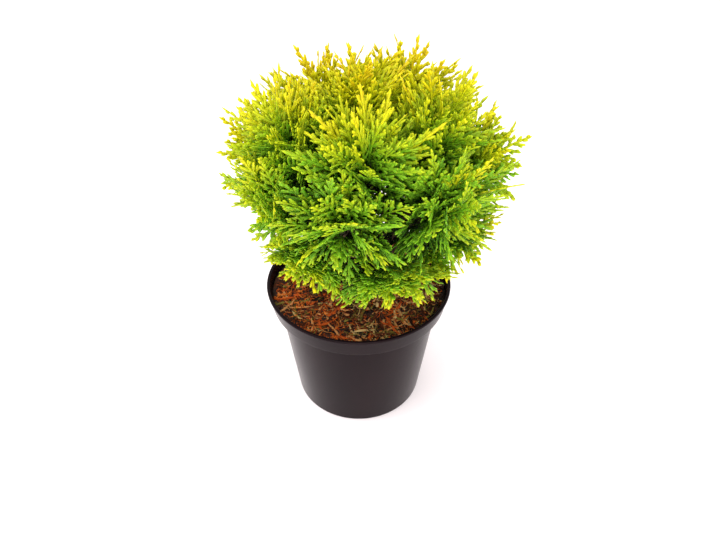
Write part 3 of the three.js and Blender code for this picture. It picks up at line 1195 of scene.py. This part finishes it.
@dataclass
class Wood:
    """The trunk, boughs and stems with the relief of their bark.

    A grid says how many rings a limb has and how many sides. Ridges are counted for each millimetre
    round the limb.
    """

    plans: list[MassPlan]
    trunk: Trunk
    bough_radii: tuple[float, float] = (2.3, 1.7)
    stem_radii: tuple[float, float] = (2.0, 1.0)
    trunk_grid: tuple[int, int] = (72, 44)
    bough_grid: tuple[int, int] = (22, 14)
    stem_grid: tuple[int, int] = (18, 8)
    relief: float = 0.13
    ridges: float = 0.9
    ridge_length: float = 9.0
    finish: Finish = FibrousBark()

    def rough(
        self, line: np.ndarray, radii: np.ndarray, sides: int, seed: float
    ) -> tuple[np.ndarray, np.ndarray]:
        """A limb whose bark stands out in long upright ridges.

        Args:
            line: the points of its middle line.
            radii: its radius at each point.
            sides: how many sides it has.
            seed: which part of the pattern it takes.

        Returns:
            Its points and its triangles.
        """
        turns = 2 * math.pi * np.arange(sides) / sides
        along = np.concatenate([[0], np.cumsum(np.linalg.norm(np.diff(line, axis=0), axis=1))])
        bark = np.empty((len(line), sides))
        for i, (distance, radius) in enumerate(zip(along, radii)):
            height = distance / self.ridge_length + seed
            for j, turn in enumerate(turns):
                x, y = math.cos(turn) * radius * self.ridges, math.sin(turn) * radius * self.ridges
                bark[i, j] = radius * (1 + self.relief * noise.fractal(Vector((x, y, height)), 0.7, 2.2, 4))
        return tube(line, bark, sides)

    def build(self) -> None:
        """Builds the bark piece in place of the CAD trunk and boughs, and the stems."""
        limbs, stems = Gathered(), Gathered()
        rings, sides = self.trunk_grid
        shares = np.linspace(0, 1, rings)
        line = self.trunk.at(self.trunk.foot + shares * self.trunk.height)
        limbs.add(*self.rough(line, self.trunk.radius(shares), sides, 0.0))
        for number, plan in enumerate(self.plans):
            rings, sides = self.bough_grid
            shares = np.linspace(0, 1, rings)
            radii = mix(*self.bough_radii, shares)
            limbs.add(*self.rough(plan.bough(shares), radii, sides, 10.0 * number + 5))
            rings, sides = self.stem_grid
            shares = np.linspace(0, 1, rings)
            radii = mix(*self.stem_radii, shares)
            stems.add(*self.rough(plan.stem(shares), radii, sides, 10.0 * number))
        names = ["trunk", *("bough_" + plan.name for plan in self.plans)]
        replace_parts(limbs.piece("trunk_and_boughs", [self.finish.make()], "bark"), *names)
        stems.piece("foliage_stems", [self.finish.make()], "bark")


@dataclass(frozen=True)
class SideSprays:
    """A pair of side sprays on a twig.

    It says where they stand, as a share of the bare twig, how far they spread from it, how long
    they are and how often they grow.
    """

    share: float
    spread: float
    length: float
    often: float


@dataclass(frozen=True)
class SprayRule:
    """How a mass branches into twigs, flat sprays, branchlets and shoots, angles in degrees.

    The first values are the source's own. A weave says how far the sprays of one mass may reach
    into its neighbours' space, and the clear values keep them off the pot, the substrate and the
    limbs. The core sprays are the short shaded ones over the stem.
    """

    seed: int = 31
    twig_range: float = 0.6
    roll: float = 30.0
    lobe: float = 0.08
    tries: int = 14
    pull: float = 0.04
    dodge: float = 0.16
    length: float = 66.0
    sides: tuple[SideSprays, ...] = (SideSprays(0.4, 0.9, 44.0, 0.5), SideSprays(0.95, 0.55, 42.0, 1.0))
    side_lean: float = 0.25
    side_start: float = 0.25
    side_tries: tuple[float, ...] = (1.0, 0.86, 0.72)
    weave: float = 6.0
    soil_clear_height: float = 123.5
    pot_clear_height: float = 131.5
    pot_clear_radius: float = 76.7
    limb_clear: float = 2.6
    axis_wave: float = 0.04
    axis_tip: float = 2.2
    branchlet_gap: float = 4.6
    branchlet_reach: float = 0.5
    branchlet_least: float = 2.3
    branchlet_taper: float = 1.15
    branchlet_spread: tuple[float, float] = (0.75, 1.15)
    branchlet_angles: tuple[float, float] = (47.0, 25.0)
    branchlet_sway: float = 6.0
    branchlet_sweep: float = 0.1
    shoot_gap: float = 4.2
    shoot_angles: tuple[float, float] = (21.0, 33.0)
    shoot_turn: float = 0.92
    shoot_length: float = 3.2
    shoot_growth: float = 0.2
    shoot_spread: tuple[float, float] = (0.8, 1.15)
    half_width: float = 1.4
    half_thickness: float = 0.65
    width_spread: tuple[float, float] = (0.85, 1.12)
    bend: float = 0.1
    twist: float = 0.5
    uneven: float = 0.35
    tilt: float = 0.2
    split: float = 0.14
    split_spread: tuple[float, float] = (0.2, 1.5)
    least_kept: float = 0.55
    core_sprays: int = 19
    core_length: float = 44.0
    core_spread: float = 1.5
    core_reach: tuple[float, float] = (0.5, 0.88)
    core_weave: float = 14.0


@dataclass(frozen=True)
class BladeKind:
    """One kind of blade: the share of its half width at each ring, and its gold at foot and tip."""

    profile: tuple[float, ...]
    gold: tuple[float, float]

    @property
    def rings(self) -> int:
        """How many rings of points the blade has between its foot and its tip."""
        return len(self.profile)


AXIS = BladeKind(tuple(np.linspace(0.8, 0.75, 7)), (-0.04, 0.04))
BRANCHLET = BladeKind((0.85, 0.98, 0.7), (-0.03, 0.05))
SHOOT = BladeKind((0.98, 0.68), (-0.02, 0.04))


class Blades:
    """Flat pointed blades of one kind, gathered for one mesh."""

    def __init__(self, kind: BladeKind) -> None:
        """Starts with no blades.

        Args:
            kind: the kind of blade.
        """
        self.kind = kind
        self.lines: list[np.ndarray] = []
        self.normals: list[np.ndarray] = []
        self.widths: list[np.ndarray] = []
        self.golds_and_shades: list[np.ndarray] = []

    def add(
        self, lines: np.ndarray, normals: np.ndarray, widths: np.ndarray, golds_and_shades: np.ndarray
    ) -> None:
        """Adds blades.

        Args:
            lines: the points of each blade's middle line, its foot and its tip included.
            normals: the way each blade's flat side faces.
            widths: each blade's half width.
            golds_and_shades: how golden each band of each blade is, painted shade and light included, from
                0 to 1.
        """
        self.lines.append(lines)
        self.normals.append(normals)
        self.widths.append(widths)
        self.golds_and_shades.append(golds_and_shades)

    def pour(self, mesh: Gathered, flat: float) -> None:
        """Turns the blades into triangles.

        Args:
            mesh: where they go.
            flat: a blade's thickness as a share of its width.
        """
        if not self.lines:
            return
        rings = self.kind.rings
        lines = np.concatenate(self.lines)
        normals = np.concatenate(self.normals)[:, None, :]
        widths = np.concatenate(self.widths)[:, None, None] * np.array(self.kind.profile)[None, :, None]
        tangents = unit(lines[:, 2:] - lines[:, :-2])
        sides = unit(np.cross(normals, tangents))
        over = np.cross(tangents, sides)
        middle = lines[:, 1:-1]
        corners = [middle + sides * widths, middle + over * widths * flat]
        corners += [middle - sides * widths, middle - over * widths * flat]
        round_points = np.stack(corners, 2).reshape(len(lines), -1, 3)
        points = np.concatenate([round_points, lines[:, :1], lines[:, -1:]], 1)
        faces = wound(rings, 4)
        bands = np.concatenate([np.repeat(np.arange(1, rings), 4)] * 2 + [np.repeat([0, rings], 4)])
        # the value picks each band's tint; the darkest tints are partly painted shade
        golds_and_shades = np.concatenate(self.golds_and_shades)[:, bands]
        shades = np.clip((golds_and_shades * len(Tint)).astype(int), 0, len(Tint) - 1)
        starts = np.arange(len(lines))[:, None, None] * points.shape[1]
        mesh.add(points.reshape(-1, 3), (faces[None] + starts).reshape(-1, 3), shades.ravel())


@dataclass(frozen=True)
class GoldAndShade:
    """How golden the foliage is, with painted shade and light in it, from 0 in deep shade to 1 at the
    sunlit tips.

    It is least at mid height, which is painted shade, and most at the top, where the real gold is
    strengthened by painted light; the crown's foot is raised a little as painted light. It grows
    towards the crown's outline, the inside being darker partly as painted shade, and from the front
    to the back and a little from right to left, which is painted shade on the front. The tips are
    slopes at the crown's foot and at its top, for what lies further out than outer_share and for
    what lies further in. A spray adds a little of its own, and a few of the low ones are as golden
    as the top.
    """

    low: float = 125.0
    high: float = 343.0
    # painted light and shade: the foot and the top are raised as painted light over the top's real gold,
    # and the dip darkens the middle height as painted shade
    foot: float = 0.52
    dip: float = 1.1
    top: float = 1.57
    outer_share: float = 0.8
    outer_tips: tuple[float, float] = (1.5, 1.1)
    # painted shade in part: the inner slope deals darker tints further inside the crown, over the inner
    # leaves' own darker green
    inner_tips: tuple[float, float] = (0.5, 1.6)
    # painted shade: lowers the value, and so the tint, towards the front and a little towards the right,
    # where less light falls
    painted_front_shade: tuple[float, float] = (-0.0002, 0.0016)
    spray: tuple[float, float] = (-0.02, 0.055)
    golden: float = 0.26
    golden_often: float = 0.2
    blade: float = 0.025
    outer_shoots: float = 0.1

    def height(self, heights: np.ndarray) -> np.ndarray:
        """Returns how high places lie, from 0 at the crown's foot to 1 at its top."""
        return (heights - self.low) / (self.high - self.low)

    def of_spray(self, start: np.ndarray, chance: random.Random) -> float:
        """Deals out what one spray adds of its own.

        Args:
            start: where the spray starts.
            chance: the source of random numbers.

        Returns:
            What it adds.
        """
        extra = chance.gauss(*self.spray)
        if chance.random() < self.golden_often:
            extra += self.golden * (1 - self.height(start[2]))
        return extra

    def at(self, plan: MassPlan, points: np.ndarray, extra: float) -> np.ndarray:
        """Works out how golden the foliage is at some points, with the painted shade and light in it.

        Args:
            plan: the mass that they belong to.
            points: the points.
            extra: what their own spray adds.

        Returns:
            The value of each, its real gold and its painted light and shade together.
        """
        height = np.clip(self.height(points[..., 2]), 0, 1)
        outward = np.clip(plan.share(points), 0, 1)
        # the real gold of the top, with painted light at the foot and the top and painted shade at mid
        # height
        base = self.foot - self.dip * height**2 + self.top * height**3
        outer, inner = mix(*self.outer_tips, height), mix(*self.inner_tips, height)
        slope = np.where(outward > self.outer_share, outer, inner)
        # painted shade on the front and on the right
        front_shade = points[..., 0] * self.painted_front_shade[0] + points[..., 1] * self.painted_front_shade[1]
        return base + slope * (outward - self.outer_share) + front_shade + extra


@dataclass
class Growth:
    """One mass as it grows: its plan, its random numbers, the bare twigs and its blades by kind."""

    plan: MassPlan
    chance: random.Random
    twigs: Gathered
    blades: tuple[Blades, ...] = field(
        default_factory=lambda: tuple(Blades(kind) for kind in (AXIS, BRANCHLET, SHOOT))
    )


@dataclass(frozen=True)
class Twig:
    """One twig and how its sprays stand.

    It starts at its base and points along its axis, bare for a length. Facing is the way its flat
    side looks, size how large its sprays are, roll how far they are turned about their axes in
    radians, and curl the way that their ends turn.
    """

    base: np.ndarray
    axis: np.ndarray
    bare: float
    facing: np.ndarray
    size: float
    roll: float
    curl: np.ndarray

    @property
    def end(self) -> np.ndarray:
        """Where the bare twig ends and its spray starts."""
        return self.base + self.axis * self.bare


@dataclass
class Foliage:
    """The masses of foliage, down to their finest shoots.

    A spray fits where its probes do: points along its axis, counted from its foot.
    """

    plans: list[MassPlan]
    trunk: Trunk
    rule: SprayRule = SprayRule()
    gold_and_shade: GoldAndShade = GoldAndShade()
    probes: tuple[int, ...] = (3, 6, 8)
    twig_radii: tuple[float, ...] = (1.0, 0.9, 0.6)
    twig_sunk: float = 3.0

    def __post_init__(self) -> None:
        """Keeps points along every limb, so that shoots stay clear of them."""
        shares = np.linspace(0.05, 1, 14)
        boughs = np.concatenate([plan.bough(shares) for plan in self.plans])
        trunk = self.trunk.at(self.trunk.foot + np.linspace(0, 1, 24) * self.trunk.height)
        self.limb_points = np.concatenate([boughs, trunk])
        clear = np.full(len(boughs), self.rule.limb_clear)
        self.limb_radii = np.concatenate([clear, np.full(len(trunk), 2 * self.rule.limb_clear)])

    def fits(self, plan: MassPlan, points: np.ndarray, weave: float) -> np.ndarray:
        """Tells which points lie in the mass's space and touch no limb.

        Args:
            plan: the mass.
            points: the points.
            weave: how far they may weave into its neighbours.

        Returns:
            True for each point that fits.
        """
        away = np.linalg.norm(points[:, None, :] - self.limb_points[None], axis=-1)
        return plan.holds(points, self.rule, weave) & (away > self.limb_radii).all(-1)

    def flat_spray(self, length: float, chance: random.Random) -> tuple[np.ndarray, ...]:
        """Lays out one flat spray, its axis along X.

        Args:
            length: of the spray.
            chance: the source of random numbers.

        Returns:
            The lines of its axis, branchlets and shoots, the branchlet that bears each shoot and how
            far along it the shoot stands.
        """
        rule = self.rule
        wave = chance.uniform(-rule.axis_wave, rule.axis_wave) * length
        shares = np.array([0, *np.linspace(0.04, 1 - rule.axis_tip / length, AXIS.rings), 1])
        axis = np.stack([shares * length, wave * np.sin(math.pi * shares)], -1)[None]
        branchlets, shoots, parents, places = [], [], [], []
        count = max(3, round(length / rule.branchlet_gap))
        hand = chance.choice((-1, 1))
        for j in range(count):
            hand = -hand
            share = (j + 0.5) / count
            place = 0.05 + 0.9 * share
            root = np.array([place * length, wave * math.sin(math.pi * place)])
            reach = rule.branchlet_reach * length * (1 - share) ** rule.branchlet_taper
            reach = reach * min(1, 0.7 + 2 * share) + rule.branchlet_least
            reach *= chance.uniform(*rule.branchlet_spread)
            sway = chance.uniform(-rule.branchlet_sway, rule.branchlet_sway)
            angle = math.radians(mix(*rule.branchlet_angles, share) + sway) * hand
            way = np.array([math.cos(angle), math.sin(angle)])
            tip = root + way * reach + np.array([rule.branchlet_sweep * reach, 0])
            middle = root + way * reach * 0.5
            branchlets.append(curve(root, middle, tip, np.array([0, 0.12, 0.5, 0.9, 1.0])))
            twigs = round(reach / rule.shoot_gap) - 1
            for k in range(twigs):
                along = (k + 0.9 + chance.uniform(-0.2, 0.2)) / (twigs + 0.9)
                foot = curve(root, middle, tip, np.array(along))
                side = 1 if (k + j) % 2 else -1
                lean = rule.shoot_turn * angle + math.radians(chance.uniform(*rule.shoot_angles)) * side
                size = rule.shoot_length + rule.shoot_growth * reach * (1 - along)
                size = min(size, 1.4 + 0.75 * reach * (1 - along)) * chance.uniform(*rule.shoot_spread)
                point = foot + size * np.array([math.cos(lean), math.sin(lean)])
                shoots.append([foot, mix(foot, point, 0.26), mix(foot, point, 0.82), point])
                parents.append(j)
                places.append(along)
        return axis, np.array(branchlets), np.array(shoots), np.array(parents), np.array(places)

    def stand(
        self, flat: np.ndarray, length: float, place: np.ndarray,
        bend: float, twist: float, curl: np.ndarray,
    ) -> np.ndarray:
        """Stands flat lines up in the crown.

        Args:
            flat: the lines' points in the spray's own plane.
            length: of the spray.
            place: the spray's start, axis, side and normal.
            bend: how far its tip curves along its normal, as a share of its length.
            twist: how far its tip turns about its axis, in radians.
            curl: the way its ends turn, as long as the share of its length that its middle lies aside.

        Returns:
            The lines' points in the frame.
        """
        start, axis, side, normal = place
        share = flat[..., 0:1] / length
        lift = bend * length * share**2 + flat[..., 1:2] * np.sin(twist * share)
        sag = 4 * length * share * (1 - share)
        return start + flat[..., 0:1] * axis + flat[..., 1:2] * side + lift * normal - sag * curl

    def grow_spray(
        self, mass: Growth, place: np.ndarray, length: float, curl: np.ndarray, weave: float
    ) -> bool:
        """Grows one spray where it fits.

        Args:
            mass: the mass that it belongs to.
            place: the spray's start, axis, side and normal.
            length: of the spray.
            curl: the way its ends turn, as stand has it.
            weave: how far it may weave into the mass's neighbours.

        Returns:
            Whether it fits.
        """
        rule, plan, chance = self.rule, mass.plan, mass.chance
        twist = chance.uniform(-rule.twist, rule.twist)
        bend = rule.bend * chance.uniform(-1, 1)
        *flat, parents, along = self.flat_spray(length, chance)
        axis, branchlets, shoots = (self.stand(lines, length, place, bend, twist, curl) for lines in flat)
        if not self.fits(plan, axis[0, self.probes], weave).all():
            return False
        kept = self.fits(plan, branchlets[:, -1], weave)
        if kept.mean() < rule.least_kept:
            return False
        fine = kept[parents] & self.fits(plan, shoots[:, -1], weave)
        extra = self.gold_and_shade.of_spray(place[0], chance)
        further = self.gold_and_shade.outer_shoots * (along[fine, None] - 0.5)
        parts = ((axis, 0.0), (branchlets[kept], 0.0), (shoots[fine], further))
        for blades, (lines, more) in zip(mass.blades, parts):
            many = np.random.default_rng(chance.randrange(1 << 30))
            count = len(lines)
            rise = np.linspace(0.3, 1, blades.kind.rings + 1)[:, None]
            lines[:, 1:] += place[3] * many.normal(0, rule.uneven, (count, 1, 1)) * rise
            tilt = place[2] * many.normal(0, rule.tilt, (count, 1)) + place[3]
            widths = rule.half_width * many.uniform(*rule.width_spread, count)
            # each band's gold, with the painted shade and light of its place
            band_gold_and_shade = self.gold_and_shade.at(plan, (lines[:, :-1] + lines[:, 1:]) / 2, extra)
            gold = np.linspace(*blades.kind.gold, blades.kind.rings + 1) + more
            band_gold_and_shade = band_gold_and_shade + gold + many.normal(0, self.gold_and_shade.blade, (count, 1))
            blades.add(lines, unit(tilt), widths, band_gold_and_shade)
        return True

    def frame_of(self, axis: np.ndarray, facing: np.ndarray, roll: float) -> np.ndarray:
        """Works out how a spray stands, as the source does.

        Args:
            axis: the way it points.
            facing: the way its flat side looks.
            roll: how far it is turned about its axis, in radians.

        Returns:
            Its axis, side and normal.
        """
        side = np.cross(facing, axis)
        if np.linalg.norm(side) < 0.05:
            side = np.cross(UP, axis)
        side = turned_about(unit(side), axis, roll)
        return np.array([axis, side, np.cross(axis, side)])

    def grow_mass(self, plan: MassPlan, number: int, twigs: Gathered) -> Gathered:
        """Grows the twigs and sprays of one mass by the source's rule.

        Args:
            plan: where it grows.
            number: its place in the source's order.
            twigs: where the bare twigs go.

        Returns:
            The leaves.
        """
        rule, ring = self.rule, plan.ring
        same = SameRandom(rule.seed + 97 * number)
        mass = Growth(plan, random.Random(number), twigs)
        for k in range(ring.twigs):
            turn = k * GOLDEN_ANGLE + same.next() * 0.5
            reach = 1 - 0.07 * same.next()
            size = 0.88 + 0.24 * same.next()
            roll = math.radians(rule.roll * (same.next() - 0.5) * 2)
            share = math.sqrt((k + 0.3) / ring.twigs)
            for attempt in range(rule.tries):
                spread = share * (1 - rule.pull * attempt)
                side = turn + rule.dodge * attempt * (1 if attempt % 2 else -1)
                way = plan.way(spread, side)
                tip = plan.fork + way * plan.outline(way) * reach * (1 - rule.lobe * spread * spread)
                base = plan.stem(np.array(0.97 - rule.twig_range * share))
                whole = np.linalg.norm(tip - base)
                length = min(rule.length * size, whole * 0.8)
                aside = unit(way - plan.direction)
                facing = mix(aside, plan.over, ring.flatness)
                curl = ring.upturn * UP + rule.split * mass.chance.uniform(*rule.split_spread) * aside
                twig = Twig(base, (tip - base) / whole, whole - length, facing, size, roll, curl)
                if self.grow_twig(mass, twig, length):
                    break
        self.grow_core(mass)
        leaves = Gathered()
        for blades in mass.blades:
            blades.pour(leaves, rule.half_thickness / rule.half_width)
        return leaves

    def grow_twig(self, mass: Growth, twig: Twig, length: float) -> bool:
        """Grows one twig with its sprays where its end spray fits.

        Args:
            mass: the mass that it belongs to.
            twig: how it stands.
            length: of its end spray.

        Returns:
            Whether it fits.
        """
        place = np.array([twig.end, *self.frame_of(twig.axis, twig.facing, twig.roll)])
        if not self.grow_spray(mass, place, length, twig.curl, self.rule.weave):
            return False
        self.add_bare(mass.twigs, twig.base, twig.end)
        self.grow_sides(mass, twig)
        return True

    def grow_sides(self, mass: Growth, twig: Twig) -> None:
        """Grows the pairs of side sprays of a twig, shorter ones where the full length doesn't fit.

        Args:
            mass: the mass that they belong to.
            twig: the twig.
        """
        rule = self.rule
        aside = unit(np.cross(twig.axis, twig.facing))
        for sprays, hand in product(rule.sides, (1, -1)):
            if mass.chance.random() > sprays.often:
                continue
            foot = twig.base + twig.axis * sprays.share * twig.bare
            way = unit(twig.axis + aside * hand * sprays.spread + unit(twig.facing) * rule.side_lean)
            length = sprays.length * twig.size
            start = foot + way * length * rule.side_start
            place = np.array([start, *self.frame_of(way, twig.facing, twig.roll)])
            for shrink in rule.side_tries:
                if self.grow_spray(mass, place, length * shrink, twig.curl, rule.weave):
                    self.add_bare(mass.twigs, foot, start)
                    break

    def grow_core(self, mass: Growth) -> None:
        """Grows the short shaded sprays that cover the stem of a mass.

        Args:
            mass: the mass.
        """
        rule, plan, chance = self.rule, mass.plan, mass.chance
        for k in range(rule.core_sprays):
            way = plan.way(rule.core_spread * math.sqrt((k + 0.5) / rule.core_sprays), k * GOLDEN_ANGLE)
            tip = plan.fork + way * plan.outline(way) * chance.uniform(*rule.core_reach)
            base = plan.stem(np.array(chance.uniform(0.1, 0.7)))
            whole = np.linalg.norm(tip - base)
            axis = (tip - base) / whole
            length = min(rule.core_length * chance.uniform(0.85, 1.2), whole)
            roll = chance.uniform(-0.5, 0.5)
            place = np.array([tip - axis * length, *self.frame_of(axis, plan.over, roll)])
            self.grow_spray(mass, place, length, np.zeros(3), rule.core_weave)

    def add_bare(self, twigs: Gathered, start: np.ndarray, end: np.ndarray) -> None:
        """Adds one bare twig that sinks into the spray it carries.

        Args:
            twigs: where it goes.
            start: where it starts.
            end: where its spray starts.
        """
        past = end + unit(end - start) * self.twig_sunk
        radii = np.array(self.twig_radii)
        line = mix(start, past, np.linspace(0, 1, len(radii))[:, None])
        twigs.add(*tube(line, radii, 4))

    def build(self) -> None:
        """Builds every mass in place of its CAD solid."""
        tints = [LeafFinish(tint).make() for tint in Tint]
        twigs = Gathered()
        for number, plan in enumerate(self.plans):
            leaves = self.grow_mass(plan, number, twigs)
            piece = leaves.piece("leaves_" + plan.name, tints, plan.ring.slot)
            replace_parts(piece, "foliage_" + plan.name)
        twigs.piece("foliage_twigs", [GreenTwig().make()], "bark")


@dataclass(frozen=True)
class SoftLight:
    """One large soft lamp that faces the plant."""

    name: str
    place: tuple[float, float, float]
    size: float
    power: float
    aim: tuple[float, float, float] = (0.0, 0.0, 0.2)

    def build(self) -> None:
        """Hangs the lamp."""
        lamp = bpy.data.lights.new(self.name, "AREA")
        lamp.shape = "DISK"
        lamp.size = self.size
        lamp.energy = self.power
        holder = bpy.data.objects.new(self.name, lamp)
        holder.location = self.place
        way = Vector(self.aim) - Vector(self.place)
        holder.rotation_euler = way.to_track_quat("-Z", "Y").to_euler()
        bpy.context.scene.collection.objects.link(holder)


@dataclass
class Studio:
    """The pale floor, the soft light and the camera, in metres."""

    floor_radius: float = 12.0
    floor_depth: float = 0.004
    floor_steps: int = 96
    ambient: float = 1.38
    camera_place: tuple[float, float, float] = (0.0, -0.3917, 0.447)
    camera_pitch: float = 38.3
    camera_yaw: float = 0.17
    focal_pixels: float = 541.0
    picture_width: float = 720.0
    sensor_width: float = 36.0
    lamps: tuple[SoftLight, ...] = (
        SoftLight("key_lamp", (-0.5, -0.3, 1.9), 1.0, 16.0),
        SoftLight("fill_lamp", (0.0, -1.3, 0.25), 1.0, 16.0),
    )

    def build_floor(self) -> None:
        """Lays the floor."""
        radius, depth = self.floor_radius / MM, self.floor_depth / MM
        profile = np.array([(0, -depth), (radius, -depth), (radius, 0), (0, 0)])
        floor = Gathered()
        floor.add(*turned(profile, self.floor_steps))
        piece = floor.piece("floor", [PaleFloor().make()], "pot_plastic")
        piece.data.shade_flat()

    def build_camera(self) -> None:
        """Sets the camera where the photograph was taken from."""
        data = bpy.data.cameras.new("camera")
        data.sensor_width = self.sensor_width
        data.lens = self.focal_pixels / self.picture_width * self.sensor_width
        camera = bpy.data.objects.new("camera", data)
        camera.location = self.camera_place
        camera.rotation_euler = (math.radians(90 - self.camera_pitch), 0, -math.radians(self.camera_yaw))
        bpy.context.scene.collection.objects.link(camera)
        bpy.context.scene.camera = camera

    def build_light(self) -> None:
        """Lights the scene from all round, with the lamps on top of that."""
        world = bpy.data.worlds.new("studio")
        world.use_nodes = True
        sky = world.node_tree.nodes["Background"]
        sky.inputs["Color"].default_value = (1, 1, 1, 1)
        sky.inputs["Strength"].default_value = self.ambient
        bpy.context.scene.world = world
        for lamp in self.lamps:
            lamp.build()
        bpy.context.scene.view_settings.view_transform = "Standard"

    def build(self) -> None:
        """Builds the studio."""
        self.build_camera()
        self.build_floor()
        self.build_light()


def main() -> None:
    """Builds the scene."""
    logging.basicConfig(level=logging.INFO, format="%(name)s: %(message)s")
    Studio().build()
    pot = NurseryPot()
    pot.build()
    Substrate(pot).build()
    limbs = Limbs()
    plans = limbs.plans()
    Wood(plans, limbs.trunk).build()
    Foliage(plans, limbs.trunk).build()


if __name__ == "__main__":
    main()
